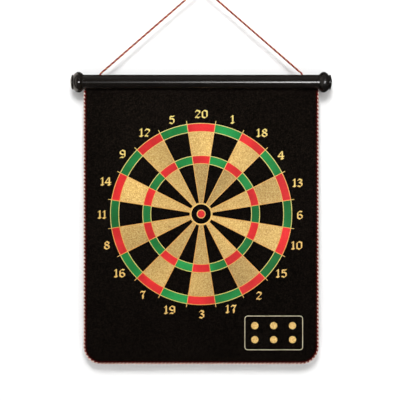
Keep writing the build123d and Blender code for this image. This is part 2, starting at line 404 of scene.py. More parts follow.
# the sheet's material slots; each is also the code of the regions printed with it
(FLOCK, GOLD, LINE, RED, GREEN, CREAM, BACKING, CORE,
 WARM_LINE, PALE_LINE, DOT_GOLD) = range(11)
SHEET_MATERIALS = [
    flock_material(),
    gold_field_material("gold_ink", sheen=True),
    gold_line_material("gold_pen", ink(246, 200, 112), ink(246, 202, 112),
                       ink(248, 218, 124), ink(253, 230, 134)),
    print_material("print_red", ink(202, 22, 24), ink(220, 29, 31), ink(236, 40, 43)),
    print_material("print_green", ink(6, 108, 42), ink(12, 124, 53), ink(24, 142, 66),
                   scale=19.0, lobes=2, swing=0.28),
    print_material("print_cream", ink(214, 200, 166), ink(232, 220, 186), ink(246, 236, 206),
                   scale=60.0, lobes=1, swing=0.0),
    backing_material(),
    core_material(),
    gold_line_material("gold_line_warm", ink(236, 164, 72), ink(240, 174, 84),
                       ink(244, 192, 108), ink(248, 204, 120)),
    gold_line_material("gold_line_pale", ink(226, 208, 110), ink(228, 212, 118),
                       ink(232, 216, 132), ink(238, 222, 140)),
    gold_field_material("gold_dots", sheen=False),
]

# slots of the edge stitching
WRAP_RED, WRAP_CREAM, NEEDLE_RED = range(3)
STITCH_MATERIALS = [
    thread_material("thread_red", ink(78, 4, 3), ink(148, 14, 10)),
    thread_material("thread_cream", ink(240, 196, 178), ink(255, 246, 234)),
    thread_material("thread_deep_red", ink(34, 3, 2), ink(76, 8, 5)),
]
CORD_RED = thread_material("cord_red", ink(106, 2, 0), ink(168, 14, 4))
CORD_CREAM = thread_material("cord_cream", ink(196, 120, 78), ink(250, 190, 140))

for node_name, material in (
        ("header_tube", gloss_material("gloss_black_tube")),
        ("finial_left", gloss_material("gloss_black_finial")),
        ("finial_right", gloss_material("gloss_black_scuffed", dull=0.10)),
        ("retaining_rod", wood_material()),
        ("cord_knot_left", CORD_RED),
        ("cord_knot_right", CORD_RED)):
    slots = frame["nodes"][node_name].data.materials
    slots.clear()
    slots.append(material)


# ------------------------------------------------------------------ mesh helpers
def set_rest(mesh):
    """Writes each vertex's place at rest into an attribute that the materials read."""
    places = np.zeros(len(mesh.vertices) * 3, np.float32)
    mesh.vertices.foreach_get("co", places)
    rest = mesh.attributes.get("rest") or mesh.attributes.new("rest", "FLOAT_VECTOR", "POINT")
    rest.data.foreach_set("vector", places)


for node_name in ("cord_knot_left", "cord_knot_right"):
    set_rest(frame["nodes"][node_name].data)


class Shape:
    """Vertices, faces and material slots gathered for one mesh."""

    def __init__(self):
        self.verts = []
        self.faces = []
        self.slots = []

    def add(self, points, faces, slots=0):
        """Adds points in mm and faces that count from the first of them. The slot is
        one for all faces, or one for each."""
        base = len(self.verts)
        self.verts += [world(*point) for point in points]
        self.faces += [tuple(base + i for i in face) for face in faces]
        self.slots += np.broadcast_to(slots, len(faces)).tolist()

    def build(self, name, materials):
        """Makes the object, with only the materials that its faces use."""
        used = sorted(set(self.slots))
        mesh = bpy.data.meshes.new(name)
        mesh.from_pydata(self.verts, [], self.faces)
        for slot in used:
            mesh.materials.append(materials[slot])
        indices = [used.index(slot) for slot in self.slots]
        mesh.polygons.foreach_set("material_index", indices)
        mesh.polygons.foreach_set("use_smooth", [True] * len(self.faces))
        mesh.update()
        mesh.validate()
        set_rest(mesh)
        piece = bpy.data.objects.new(name, mesh)
        bpy.context.scene.collection.objects.link(piece)
        return piece


def attach(piece, panel, slot_name, *replaced):
    """Panel 0 is fixed to the header, the panels up to the last hinge stay where they are with
    the move baked in, and the one past the last hinge rides on the last strip."""
    if panel == 0:
        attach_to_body(piece, "header")
    elif panel <= STRIPS:
        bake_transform(piece)
    else:
        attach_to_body(piece, BODIES[STRIPS])
    if replaced:
        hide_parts(*replaced)


# ------------------------------------------------------------------ the printed face, drawn flat
figure_points = []
figure_edges = []


def draw(points, closed=True):
    """Adds a line through (x, z) points to the figure."""
    base = len(figure_points)
    count = len(points)
    figure_points.extend(points)
    for i in range(count if closed else count - 1):
        figure_edges.append((base + i, base + (i + 1) % count))


def circle(x, z, radius, count):
    angles = [2 * math.pi * k / count for k in range(count)]
    return [(x + radius * math.cos(a), z + radius * math.sin(a)) for a in angles]


def quarter(x, z, radius, start, steps):
    """A quarter turn anticlockwise from the start angle in degrees."""
    angles = [math.radians(start + 90 * k / steps) for k in range(steps + 1)]
    return [(x + radius * math.cos(a), z + radius * math.sin(a)) for a in angles]


def rounded_box(left, bottom, right, top, radius):
    points = []
    for x, z, start in ((right - radius, top - radius, 0), (left + radius, top - radius, 90),
                        (left + radius, bottom + radius, 180),
                        (right - radius, bottom + radius, 270)):
        points += quarter(x, z, radius, start, steps=8)
    return points


# the sheet's outline, anticlockwise from its top left
draw([(-HALF_W, TOP_Z), (-HALF_W, CORNER_Z)]
     + quarter(-CORNER_X, CORNER_Z, CORNER_R, 180, steps=20)[1:-1]
     + [(-CORNER_X, BOTTOM), (CORNER_X, BOTTOM)]
     + quarter(CORNER_X, CORNER_Z, CORNER_R, 270, steps=20)[1:-1]
     + [(HALF_W, CORNER_Z), (HALF_W, TOP_Z)])

# radii of the target
R_BULL, R_BULL_LINE, R_RING_IN, R_RING_OUT, R_WEDGE = 6.0, 7.1, 15.9, 17.5, 18.7
# each scoring ring: inner line, coloured band from, to, outer line
TRIPLE = (81.3, 82.35, 94.5, 95.55)
DOUBLE = (133.4, 134.45, 146.8, 147.85)
R_FIELDS = DOUBLE[3]
R_TICK = 152.9                                   # outer ends of the ticks outside the fields
R_NUMBERS = 180                                  # the numbers lie within this
CIRCLES = ([(R_BULL, 48), (R_BULL_LINE, 60), (R_RING_IN, 96), (R_RING_OUT, 96), (R_WEDGE, 100)]
           + [(radius, 240) for radius in TRIPLE]
           + [(radius, 320) for radius in DOUBLE])
for radius, count in CIRCLES:
    draw(circle(0, TARGET_Z, radius, count))

SECTORS = 20
SECTOR = 360 / SECTORS                           # degrees
SPOKE = 0.50                                     # half the width of a line between two fields
TICK = 0.46                                      # half the width of a tick
spokes = []                                      # direction along and across each spoke
for k in range(SECTORS):
    angle = math.radians(90 + SECTOR / 2 - SECTOR * k)
    along = (math.cos(angle), math.sin(angle))
    across = (-math.sin(angle), math.cos(angle))
    spokes.append((along, across))
    for width, start, end in ((SPOKE, R_RING_OUT, R_FIELDS), (TICK, R_FIELDS, R_TICK)):
        draw([(along[0] * r + across[0] * width * side,
               TARGET_Z + along[1] * r + across[1] * width * side)
              for r, side in ((start, -1), (end, -1), (end, 1), (start, 1))])

# six gold dots in a cream line frame, near the bottom right corner
DOTS = [(x, z) for x in (87.2, 117.8, 148.4) for z in (-395.6, -418.3)]
DOT_R = 5.8
for x, z in DOTS:
    draw(circle(x, z, DOT_R, 40))
FRAME = (70.5, -435.3, 165.3, -379.5)            # left, bottom, right, top
FRAME_LINE = 0.95
FRAME_OUT = (*FRAME, 5.2)                        # the same with the corner radius
FRAME_IN = (FRAME[0] + FRAME_LINE, FRAME[1] + FRAME_LINE,
            FRAME[2] - FRAME_LINE, FRAME[3] - FRAME_LINE, 4.0)
draw(rounded_box(*FRAME_OUT))
draw(rounded_box(*FRAME_IN))

# the numbers: broken black-letter strokes drawn with a broad pen held at a slant
PEN_ANGLE = math.radians(42)
PEN_LONG, PEN_SHORT = 1.14, 0.34                 # half the nib's length and thickness
STROKES = {                                      # width, then the pen's paths as (x, z)
    "0": (9.8, [[(-3.7, 3.8), (-0.2, 6.1), (3.7, 4.4), (3.7, -3.8), (0.2, -6.1), (-3.7, -4.4),
                 (-3.7, 3.8)]]),
    "1": (6.5, [[(-2.2, 4.3), (0.3, 6.2)], [(0.3, 6.2), (0.3, -5.4)],
                [(-2.3, -5.3), (0.3, -6.2), (2.2, -5.0)]]),
    "2": (9.2, [[(-3.3, 3.7), (-1.7, 6.0), (3.2, 4.6), (3.2, 2.0), (-3.3, -4.6)],
                [(-3.4, -5.5), (-1.2, -4.9), (1.4, -6.1), (3.4, -4.7)]]),
    "3": (8.8, [[(-3.0, 4.2), (-1.2, 6.1), (2.8, 4.7), (2.8, 2.6), (-0.9, 0.8)],
                [(-0.9, 0.8), (3.1, -0.8), (3.1, -4.2), (0.4, -6.1), (-3.2, -4.7)]]),
    "4": (11.6, [[(1.2, 6.1), (-4.4, -1.7)], [(-4.4, -1.9), (4.6, -1.9)],
                 [(2.1, 5.6), (2.1, -5.2)], [(0.0, -5.5), (2.1, -6.1), (4.0, -5.1)]]),
    "5": (9.2, [[(-2.5, 5.7), (0.4, 5.3), (3.4, 6.1)],
                [(-2.7, 5.5), (-2.7, 1.3), (0.4, 2.2), (3.3, 0.3), (3.3, -3.9), (0.6, -6.1),
                 (-3.4, -4.6)]]),
    "6": (9.8, [[(3.1, 5.5), (-0.4, 6.1), (-3.5, 3.8), (-3.5, -4.2), (-0.2, -6.1), (3.6, -4.2),
                 (3.6, -1.2), (0.6, 1.2), (-3.0, -0.4)]]),
    "7": (9.4, [[(-3.4, 3.9), (-2.1, 6.0), (0.9, 5.0), (3.5, 6.1)], [(3.3, 5.4), (-0.5, -1.0)],
                [(-0.2, -1.0), (0.1, -6.0)], [(0.7, -1.4), (0.5, -5.0)]]),
    "8": (9.6, [[(-2.9, 4.0), (0.0, 6.1), (3.1, 4.4), (3.1, 2.4), (-0.2, 0.4), (-2.9, 2.4),
                 (-2.9, 4.0)],
                [(-0.2, 0.4), (3.6, -1.6), (3.6, -4.2), (0.2, -6.1), (-3.5, -4.2), (-3.5, -1.6),
                 (-0.2, 0.4)]]),
    "9": (9.8, [[(3.2, 0.4), (0.2, -1.2), (-3.6, 0.8), (-3.6, 3.9), (-0.4, 6.1), (3.6, 4.4),
                 (3.6, -3.8), (1.0, -6.0), (-1.4, -4.9), (-3.6, -5.9)]]),
}
GAP = 1.9                                        # between two digits
KERN = {"13": -0.9, "14": -1.9, "11": -0.6}      # added to the gap
# the centre of each number, right of and above the bullseye, clockwise from the top
NUMBER_PLACES = {
    "20": (0.2, 162.4), "1": (51.0, 153.6), "18": (98.8, 131.8), "4": (129.6, 95.4),
    "13": (156.6, 50.6), "6": (160.4, -1.8), "10": (155.2, -51.0), "15": (130.4, -96.6),
    "2": (94.0, -132.6), "17": (48.6, -154.2), "3": (0.8, -162.8), "19": (-51.2, -155.6),
    "7": (-94.8, -131.4), "16": (-132.4, -96.2), "8": (-153.2, -50.8), "11": (-161.0, -0.8),
    "14": (-154.6, 53.0), "9": (-127.6, 97.6), "12": (-91.6, 132.2), "5": (-47.6, 152.9),
}


def hull(points):
    """The convex outline round some points, anticlockwise."""
    ordered = sorted(set((round(x, 6), round(z, 6)) for x, z in points))

    def half(sequence):
        chain = []
        for point in sequence:
            while len(chain) > 1 and (
                    (chain[-1][0] - chain[-2][0]) * (point[1] - chain[-2][1])
                    - (chain[-1][1] - chain[-2][1]) * (point[0] - chain[-2][0])) <= 0:
                chain.pop()
            chain.append(point)
        return chain[:-1]
    return half(ordered) + half(ordered[::-1])


def draw_numbers():
    """Draws every number, and returns its strokes as convex pieces."""
    pen_cos, pen_sin = math.cos(PEN_ANGLE), math.sin(PEN_ANGLE)
    nib = [(i * PEN_LONG * pen_cos - j * PEN_SHORT * pen_sin,
            i * PEN_LONG * pen_sin + j * PEN_SHORT * pen_cos)
           for i, j in ((1, 1), (-1, 1), (-1, -1), (1, -1))]
    pieces = []
    for text, (centre_x, centre_z) in NUMBER_PLACES.items():
        gap = GAP + KERN.get(text, 0)
        x = centre_x - (sum(STROKES[digit][0] for digit in text) + gap * (len(text) - 1)) / 2
        for digit in text:
            width, strokes = STROKES[digit]
            middle = x + width / 2
            for stroke in strokes:
                for ends in zip(stroke, stroke[1:]):
                    piece = hull([(middle + end_x + nib_x, TARGET_Z + centre_z + end_z + nib_z)
                                  for end_x, end_z in ends for nib_x, nib_z in nib])
                    pieces.append(np.array(piece))
                    draw(piece)
            x += width + gap
    return pieces


number_pieces = draw_numbers()

# cut lines: the edges of the panels, and rows between them for the bend
EDGES_Z = [TOP_Z, HINGES_Z[0] + PITCH / 2] + [z - PITCH / 2 for z in HINGES_Z] + [BOTTOM]
FULL_ROWS, SHORT_ROWS = 8, 4                     # rows in a panel a full pitch high, and in others
OVERHANG = 3                                     # the cut lines run this far past the sheet
rows_z = []
for top, bottom in zip(EDGES_Z, EDGES_Z[1:]):
    count = FULL_ROWS if abs((top - bottom) - PITCH) < 0.1 else SHORT_ROWS
    rows_z += [top + (bottom - top) * k / count for k in range(1, count)] + [bottom]
for z in rows_z[:-1]:
    draw([(-HALF_W - OVERHANG, z), (HALF_W + OVERHANG, z)], closed=False)


# ------------------------------------------------------------------ triangles of the face
def inside_sheet(x, z):
    inside = (np.abs(x) < HALF_W) & (z < TOP_Z) & (z > BOTTOM)
    corner = (np.abs(x) > CORNER_X) & (z < CORNER_Z)
    reach = np.hypot(np.abs(x) - CORNER_X, z - CORNER_Z)
    return inside & (~corner | (reach < CORNER_R * 0.99999))


def inside_convex(outline, x, z):
    inside = np.ones(len(x), bool)
    for a, b in zip(outline, np.roll(outline, -1, axis=0)):
        inside &= (b[0] - a[0]) * (z - a[1]) - (b[1] - a[1]) * (x - a[0]) >= -1e-9
    return inside


def inside_rounded(left, bottom, right, top, radius, x, z):
    past_x = np.maximum(np.abs(x - (left + right) / 2) - (right - left) / 2 + radius, 0)
    past_z = np.maximum(np.abs(z - (bottom + top) / 2) - (top - bottom) / 2 + radius, 0)
    return np.hypot(past_x, past_z) <= radius


def regions_at(x, z):
    """The sheet material at each place on the face. Later regions lie over earlier ones."""
    up = z - TARGET_Z
    r = np.hypot(x, up)
    clockwise = np.degrees(np.arctan2(x, up)) % 360
    sector = (np.floor((clockwise + SECTOR / 2) / SECTOR) % SECTORS).astype(int)
    gold = sector % 2 == 0
    region = np.full(len(x), FLOCK)
    region[r < R_BULL] = RED
    region[(r >= R_BULL) & (r < R_BULL_LINE)] = LINE
    region[(r >= R_RING_IN) & (r < R_RING_OUT)] = LINE
    region[(r >= R_RING_OUT) & (r < R_WEDGE)] = GOLD
    region[(r >= R_WEDGE) & (r < R_FIELDS) & gold] = GOLD
    for line_in, band_in, band_out, line_out in (TRIPLE, DOUBLE):
        line = ((r >= line_in) & (r < band_in)) | ((r >= band_out) & (r < line_out))
        region[line & gold] = WARM_LINE
        region[line & ~gold] = PALE_LINE
        band = (r >= band_in) & (r < band_out)
        region[band & gold] = RED
        region[band & ~gold] = GREEN
    for ray, normal in spokes:
        along = x * ray[0] + up * ray[1]
        across = np.abs(x * normal[0] + up * normal[1])
        region[(along > R_RING_OUT - 0.01) & (r >= R_RING_OUT) & (r < R_FIELDS)
               & (across < SPOKE)] = WARM_LINE
        region[(along > R_FIELDS - 0.2) & (r >= R_FIELDS) & (along < R_TICK)
               & (across < TICK)] = LINE
    numbered = (r > R_TICK) & (r < R_NUMBERS)
    for piece in number_pieces:
        region[numbered & inside_convex(piece, x, z)] = LINE
    for dot_x, dot_z in DOTS:
        region[np.hypot(x - dot_x, z - dot_z) < DOT_R] = DOT_GOLD
    region[inside_rounded(*FRAME_OUT, x, z) & ~inside_rounded(*FRAME_IN, x, z)] = CREAM
    return region


solved = delaunay_2d_cdt([Vector(point) for point in figure_points], figure_edges, [],
                         0, 1e-5, False)
face_points = np.array([(point[0], point[1]) for point in solved[0]])
triangles = np.array([face for face in solved[2] if len(face) == 3])
centres = face_points[triangles].mean(axis=1)
kept = inside_sheet(centres[:, 0], centres[:, 1])
triangles, centres = triangles[kept], centres[kept]
regions = regions_at(centres[:, 0], centres[:, 1])
panels = np.searchsorted(-np.array(EDGES_Z), -centres[:, 1]) - 1

# turn every triangle the same way, so that the face looks towards -Y
a, b, c = (face_points[triangles[:, i]] for i in range(3))
area = (b[:, 0] - a[:, 0]) * (c[:, 1] - a[:, 1]) - (b[:, 1] - a[:, 1]) * (c[:, 0] - a[:, 0])
triangles[area < 0] = triangles[area < 0][:, ::-1]


# ------------------------------------------------------------------ the sheet's panels
def half_width_at(z):
    if z >= CORNER_Z:
        return HALF_W
    return CORNER_X + math.sqrt(max(CORNER_R ** 2 - (CORNER_Z - z) ** 2, 0))


def panel_rows(panel):
    """Heights of the rows of the backing cloth, from the top."""
    top, bottom = EDGES_Z[panel:panel + 2]
    if panel == PANELS - 1:                      # closer together where the corners turn in
        return [top - (top - bottom) * math.sin(math.pi / 2 * k / 14) for k in range(15)]
    heights = {top} | {z for z in rows_z if bottom - 1e-6 < z < top - 1e-6}
    if panel == STRIPS and bottom < CORNER_Z < top:
        heights.add(CORNER_Z)
    return sorted(heights, reverse=True)


def build_panel(panel):
    shape = Shape()
    # printed face
    mine = panels == panel
    used, local = np.unique(triangles[mine], return_inverse=True)
    shape.add([(face_points[i][0], -HALF_T, face_points[i][1]) for i in used],
              local.reshape(-1, 3).tolist(), regions[mine])
    # backing cloth
    heights = panel_rows(panel)
    columns = (-1.0, -0.5, 0.0, 0.5, 1.0)        # as parts of the half width
    count = len(columns)
    corners = [row * count + j for row in range(len(heights) - 1) for j in range(count - 1)]
    shape.add([(part * half_width_at(z), HALF_T, z) for z in heights for part in columns],
              [(i, i + count, i + count + 1, i + 1) for i in corners], BACKING)
    # cut edges down both sides
    for side in (-1, 1):
        points = []
        for z in heights:
            x = side * half_width_at(z)
            points += [(x, -HALF_T, z), (x, HALF_T, z)]
        faces = [(i, i + 2, i + 3, i + 1) for i in range(0, 2 * len(heights) - 2, 2)]
        shape.add(points, [face[::side] for face in faces], CORE)
    # cut edges across the top and bottom
    for z, turn in ((EDGES_Z[panel], 1), (EDGES_Z[panel + 1], -1)):
        x = half_width_at(z)
        points = [(-x, -HALF_T, z), (x, -HALF_T, z), (x, HALF_T, z), (-x, HALF_T, z)]
        shape.add(points, [(0, 1, 2, 3)[::turn]], CORE)
    return shape.build("sheet_panel_%02d" % panel, SHEET_MATERIALS)


for panel, piece in enumerate([build_panel(panel) for panel in range(PANELS)]):
    if panel == 0:
        attach(piece, panel, "flocked_cloth", "sheet_top_hem")
    elif panel <= STRIPS:
        attach(piece, panel, "flocked_cloth", "sheet_strip_%02d" % panel)
    else:
        attach(piece, panel, "flocked_cloth")


# ------------------------------------------------------------------ the hem's loop in the tube
def build_hem_loop():
    """The cloth's loop round the retaining rod, open below where it meets the sheet."""
    steps = 32
    rod_low, rod_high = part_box("retaining_rod")
    rod_r = (rod_high.y - rod_low.y) / 2 / MM
    rod_z = from_axis((rod_high.z + rod_low.z) / 2)
    outer_r, inner_r = rod_r + 0.65, rod_r + 0.05
    opening = math.asin(HALF_T / outer_r)        # half the angle taken by the sheet
    profile = [(HALF_T, TOP_Z)]                  # y, z
    for k in range(steps + 1):
        angle = -math.pi / 2 + opening + (2 * math.pi - 2 * opening) * k / steps
        profile.append((outer_r * math.cos(angle), rod_z + outer_r * math.sin(angle)))
    profile.append((-HALF_T, TOP_Z))
    bore = circle(0, rod_z, inner_r, steps)

    count = len(profile)
    base = 2 * count                             # first vertex of the bore
    points = [(x, y, z) for outline in (profile, bore) for x in (-HALF_W, HALF_W)
              for y, z in outline]
    faces = [(i, i + 1, count + i + 1, count + i) for i in range(count - 1)]
    for i in range(steps):
        j = (i + 1) % steps
        faces.append((base + i, base + steps + i, base + steps + j, base + j))
    for end, turn in ((0, -1), (1, 1)):          # ring-shaped ends, left then right
        for i in range(steps):
            rim = end * count + 1 + i
            # the bore starts a quarter turn after the profile does
            near = (i - steps // 4) % steps
            far = (near + 1) % steps
            bore_start = base + end * steps
            faces.append((rim, bore_start + near, bore_start + far, rim + 1)[::turn])
    shape = Shape()
    shape.add(points, faces)
    return shape.build("hem_loop", [SHEET_MATERIALS[BACKING]])


hem_loop = build_hem_loop()
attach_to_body(hem_loop, "header")


# ------------------------------------------------------------------ round threads
def tube_rings(points, radius, sides):
    """Rings of points round a thread's centre line, carried along it without twisting."""
    points = np.array(points, float)
    tangents = np.gradient(points, axis=0)
    tangents /= np.linalg.norm(tangents, axis=1)[:, None]
    first = tangents[0]
    helper = np.array([0.0, 1.0, 0.0]) if abs(first[1]) < 0.9 else np.array([1.0, 0.0, 0.0])
    normal = np.cross(first, helper)
    normal /= np.linalg.norm(normal)
    angles = (np.arange(sides) * 2 * math.pi / sides)[:, None]
    rings = []
    for point, tangent in zip(points, tangents):
        normal = normal - tangent * (normal @ tangent)
        normal /= np.linalg.norm(normal)
        binormal = np.cross(tangent, normal)
        rings.append(point + radius * (np.cos(angles) * normal + np.sin(angles) * binormal))
    return np.array(rings)


def tube_faces(rings, sides):
    """Faces between the rings, then a cap on each end."""
    faces = []
    for start in range(0, (rings - 1) * sides, sides):
        for i in range(sides):
            j = (i + 1) % sides
            faces.append((start + i, start + j, start + sides + j, start + sides + i))
    faces.append(tuple(range(sides))[::-1])
    faces.append(tuple((rings - 1) * sides + i for i in range(sides)))
    return faces


# ------------------------------------------------------------------ the edge stitching
# The edge's path runs down the left side, round the corner, along the bottom, round the
# other corner and up the right side.
STITCH_TOP = -12.9
SIDE_LENGTH = STITCH_TOP - CORNER_Z
ARC_LENGTH = math.pi / 2 * CORNER_R
BOTTOM_LENGTH = 2 * CORNER_X
EDGE_LENGTH = 2 * SIDE_LENGTH + 2 * ARC_LENGTH + BOTTOM_LENGTH

THREAD_R = 0.46
WRAP_PITCH = 6.2
WRAP_IN = -1.85                                  # the wrap reaches this far in over the cloth
WRAP_Y = 1.02                                    # thread's centre line off the sheet's mid-plane
FILAMENTS = 7
RED_FILAMENTS = 4                                # the others are cream
TURN_STEPS = 14
THREAD_SIDES = 6
WOBBLE = 0.07                                    # unevenness of the wrap
WOBBLE_STEPS = 9                                 # steps from one random value to the next
# each kind of filament: inner and outer reach, radius, slot
RED_WRAP = ((WRAP_IN + THREAD_R, WRAP_OUT + 0.05), THREAD_R * 1.06, WRAP_RED)
CREAM_WRAP = ((WRAP_IN + 0.9, WRAP_OUT + 0.55), THREAD_R * 1.14, WRAP_CREAM)

NEEDLE_R = 0.36
NEEDLE_LENGTH, NEEDLE_PITCH = 2.45, 2.75         # one stitch, and from one to the next
NEEDLE_END = 2.6                                 # length left free at the end of the edge
NEEDLE_STEPS = 6
NEEDLE_SINK = 0.12                               # the stitch's ends lie this deep in the cloth
NEEDLE_ARCH = 0.30
# rows of needle stitches: distance outward from the wrap's inner side, start, extra height
NEEDLE_ROWS = ((-1.10, 0.6, 0.0), (-0.40, 1.9, 0.0), (0.25, 1.2, 0.45))


def edge_at(length):
    """Point (x, z) on the cloth's edge, and its outward direction."""
    def corner(x, start, length):
        angle = start + length / CORNER_R
        outward = (math.cos(angle), math.sin(angle))
        return (x + CORNER_R * outward[0], CORNER_Z + CORNER_R * outward[1]), outward

    if length < SIDE_LENGTH:
        return (-HALF_W, STITCH_TOP - length), (-1.0, 0.0)
    length -= SIDE_LENGTH
    if length < ARC_LENGTH:
        return corner(-CORNER_X, math.pi, length)
    length -= ARC_LENGTH
    if length < BOTTOM_LENGTH:
        return (-CORNER_X + length, BOTTOM), (0.0, -1.0)
    length -= BOTTOM_LENGTH
    if length < ARC_LENGTH:
        return corner(CORNER_X, 1.5 * math.pi, length)
    length -= ARC_LENGTH
    return (HALF_W, CORNER_Z + length), (1.0, 0.0)


def stitch_point(length, outward, y):
    """A point so far outward from the edge, at a length along it."""
    (x, z), (out_x, out_z) = edge_at(length)
    return (x + out_x * outward, y, z + out_z * outward)


def wrap_at(turn, inner, outer):
    """(outward, y) round the edge: outwards over the front, round the edge, back behind."""
    straight = (outer - inner) - 2 * WRAP_Y
    along = (turn % 1.0) * (2 * straight + 2 * math.pi * WRAP_Y)
    if along < straight:
        return inner + WRAP_Y + along, -WRAP_Y
    along -= straight
    if along < math.pi * WRAP_Y:
        angle = -math.pi / 2 + along / WRAP_Y
        return outer - WRAP_Y + WRAP_Y * math.cos(angle), WRAP_Y * math.sin(angle)
    along -= math.pi * WRAP_Y
    if along < straight:
        return outer - WRAP_Y - along, WRAP_Y
    along -= straight
    angle = math.pi / 2 + along / WRAP_Y
    return inner + WRAP_Y + WRAP_Y * math.cos(angle), WRAP_Y * math.sin(angle)


def panel_at(z):
    return next((k for k in range(PANELS) if z >= EDGES_Z[k + 1]), PANELS - 1)


stitching = [Shape() for _ in range(PANELS)]


def lay_thread(points, radius, slot):
    """Adds a thread to the stitching, cut where it crosses from panel to panel."""
    rings = tube_rings(points, radius, THREAD_SIDES)
    crossed = [panel_at((p[2] + q[2]) / 2) for p, q in zip(points, points[1:])]
    start = 0
    for end in range(1, len(crossed) + 1):
        if end == len(crossed) or crossed[end] != crossed[start]:
            stitching[crossed[start]].add(rings[start:end + 1].reshape(-1, 3),
                                          tube_faces(end - start + 1, THREAD_SIDES), slot)
            start = end


def lay_wrap():
    """The filaments wound round the edge."""
    rng = np.random.default_rng(11)
    count = int(EDGE_LENGTH / WRAP_PITCH * TURN_STEPS)
    for filament in range(FILAMENTS):
        wobbles = rng.normal(0, 1, count // WOBBLE_STEPS + 3)
        reach, radius, slot = RED_WRAP if filament < RED_FILAMENTS else CREAM_WRAP
        points = []
        for i in range(count + 1):
            turn = i / TURN_STEPS
            # run backwards, so that the strokes lean like a rope's
            length = EDGE_LENGTH - (turn * WRAP_PITCH)
            length -= filament * WRAP_PITCH / FILAMENTS
            if length < 0 or length > EDGE_LENGTH:
                continue
            outward, y = wrap_at(turn, *reach)
            wobble = np.interp(i / WOBBLE_STEPS, np.arange(len(wobbles)), wobbles) * WOBBLE
            points.append(stitch_point(length, outward + wobble, y * (1 + 0.05 * wobble)))
        lay_thread(points, radius, slot)


def lay_needle_rows():
    """Rows of short stitches along the inside of the wrap, front then back."""
    for side in (-1, 1):
        for offset, length, raised in NEEDLE_ROWS:
            while length < EDGE_LENGTH - NEEDLE_END:
                points = []
                for k in range(NEEDLE_STEPS + 1):
                    lift = NEEDLE_ARCH * math.sin(math.pi * k / NEEDLE_STEPS) + raised
                    points.append(stitch_point(length + NEEDLE_LENGTH * k / NEEDLE_STEPS,
                                               WRAP_IN + offset,
                                               side * (HALF_T - NEEDLE_SINK + lift)))
                lay_thread(points, NEEDLE_R, NEEDLE_RED)
                length += NEEDLE_PITCH


lay_wrap()
lay_needle_rows()
for panel, shape in enumerate(stitching):
    if not shape.faces:                          # a panel that the stitching doesn't reach
        continue
    piece = shape.build("edge_stitching_wrap_%02d" % panel, STITCH_MATERIALS)
    replaced = ["edge_stitching_%02d" % panel] if panel <= STRIPS else []
    attach(piece, panel, "edge_thread", *replaced)

# ------------------------------------------------------------------ the hanging cord
NAIL_BEND_R = 5.0
CORD_START_Z = 5.5                               # the cord's ends
CORD_TURN_Z = PIVOT_Z - 1.6                      # where it leaves the upright
CORD_TURN_R = 2.2
TWIST = 9.4                                      # length of one turn
TWIST_STEPS = 20
STRAND_R = 0.80
CREAM_STRAND = 0.85                              # the cream strand's radius, as a part of the red's
STRAND_OFFSET = 0.86                             # strand's centre from the cord's
STRAND_SIDES = 10


def cord_path():
    """Centre line (x, z): up from the right end, over the nail, down to the left end."""
    bend_z = CORD_TOP - NAIL_BEND_R
    rise = bend_z - PIVOT_Z
    slope = math.atan2(rise, CORD_X) + math.asin(NAIL_BEND_R / math.hypot(rise, CORD_X))
    right = [(CORD_X, CORD_START_Z), (CORD_X, CORD_TURN_Z)]
    # a small round turn from upright to the leg's slope
    for k in range(1, 7):
        angle = (math.pi / 2 - slope) * k / 6
        right.append((CORD_X - CORD_TURN_R * (1 - math.cos(angle)),
                      CORD_TURN_Z + CORD_TURN_R * math.sin(angle)))
    # round the nail, from where the straight leg touches the bend
    for k in range(9):
        angle = slope * (1 - k / 8)
        right.append((NAIL_BEND_R * math.sin(angle), bend_z + NAIL_BEND_R * math.cos(angle)))
    return np.array(right + [(-x, z) for x, z in right[-2::-1]])


def build_cord():
    """Three strands twisted together, one of them cream and thinner."""
    path = cord_path()
    reached = np.concatenate([[0], np.cumsum(np.linalg.norm(np.diff(path, axis=0), axis=1))])
    steps = int(reached[-1] / TWIST * TWIST_STEPS)
    lengths = np.linspace(0, reached[-1], steps + 1)
    centre = np.stack([np.interp(lengths, reached, path[:, 0]), np.zeros_like(lengths),
                       np.interp(lengths, reached, path[:, 1])], axis=1)
    tangents = np.gradient(centre, axis=0)
    tangents /= np.linalg.norm(tangents, axis=1)[:, None]
    depth = np.array([0.0, 1.0, 0.0])
    sideways = np.cross(tangents, depth)
    shape = Shape()
    for strand in range(3):
        cream = strand == 0
        angles = (2 * math.pi * (lengths / TWIST + strand / 3))[:, None]
        points = centre + STRAND_OFFSET * (np.cos(angles) * depth + np.sin(angles) * sideways)
        rings = tube_rings(points, STRAND_R * (CREAM_STRAND if cream else 1.0), STRAND_SIDES)
        shape.add(rings.reshape(-1, 3), tube_faces(len(rings), STRAND_SIDES), 1 if cream else 0)
    return shape.build("hanging_cord_twist", [CORD_RED, CORD_CREAM])


cord = build_cord()
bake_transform(cord)
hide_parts("hanging_cord")

# ------------------------------------------------------------------ wall and floor, in metres
finial_low, finial_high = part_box("finial_left")
WALL_Y = finial_high.y + 0.0008                  # just clear of the finials
STAGE_X = 2.5                                    # half the width of the wall and floor
MIDDLE_Z = AXIS_Z - 0.19                         # about the middle of the board
FLOOR_Z = MIDDLE_Z - 0.75


def stage_plane(name, corners, material):
    mesh = bpy.data.meshes.new(name)
    mesh.from_pydata(corners, [], [(0, 1, 2, 3)])
    mesh.materials.append(material)
    plane = bpy.data.objects.new(name, mesh)
    bpy.context.scene.collection.objects.link(plane)
    return plane


def upright_plane(name, y, left, right, bottom, top, material):
    """A plane across the scene."""
    return stage_plane(name, [(left, y, bottom), (right, y, bottom), (right, y, top),
                              (left, y, top)], material)


